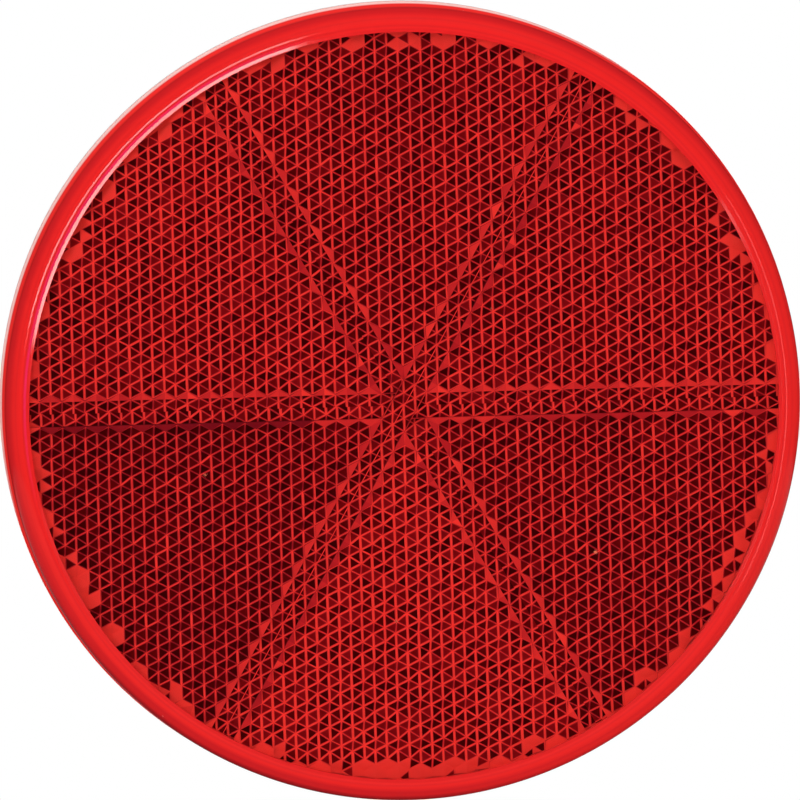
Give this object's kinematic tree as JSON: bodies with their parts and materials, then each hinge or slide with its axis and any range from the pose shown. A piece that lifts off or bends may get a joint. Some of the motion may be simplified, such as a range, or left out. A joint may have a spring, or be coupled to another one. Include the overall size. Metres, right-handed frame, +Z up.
{
  "type": "adhesive reflector",
  "caption": "Round red stick-on reflector: a clear lens with a cube-corner prism field, on a welded back plate with a foam adhesive pad and release liner.",
  "frame": {"origin": "centre of the rear face that goes against the surface, the outside of the release liner", "axes": "+Z up, -Y out of the reflecting front, +X to the right as seen from the front"},
  "size_m": [0.08, 0.0082, 0.08],
  "materials": {
    "red_lens": "clear red acrylic, polished",
    "pale_plastic": "moulded, fine matt grain",
    "foam": "closed-cell foam tape",
    "liner_paper": "smooth siliconised paper"
  },
  "bodies": {
    "root": {"lens": "red_lens", "back_plate": "pale_plastic", "adhesive_pad": "foam", "release_liner": "liner_paper"}
  },
  "joints": []
}
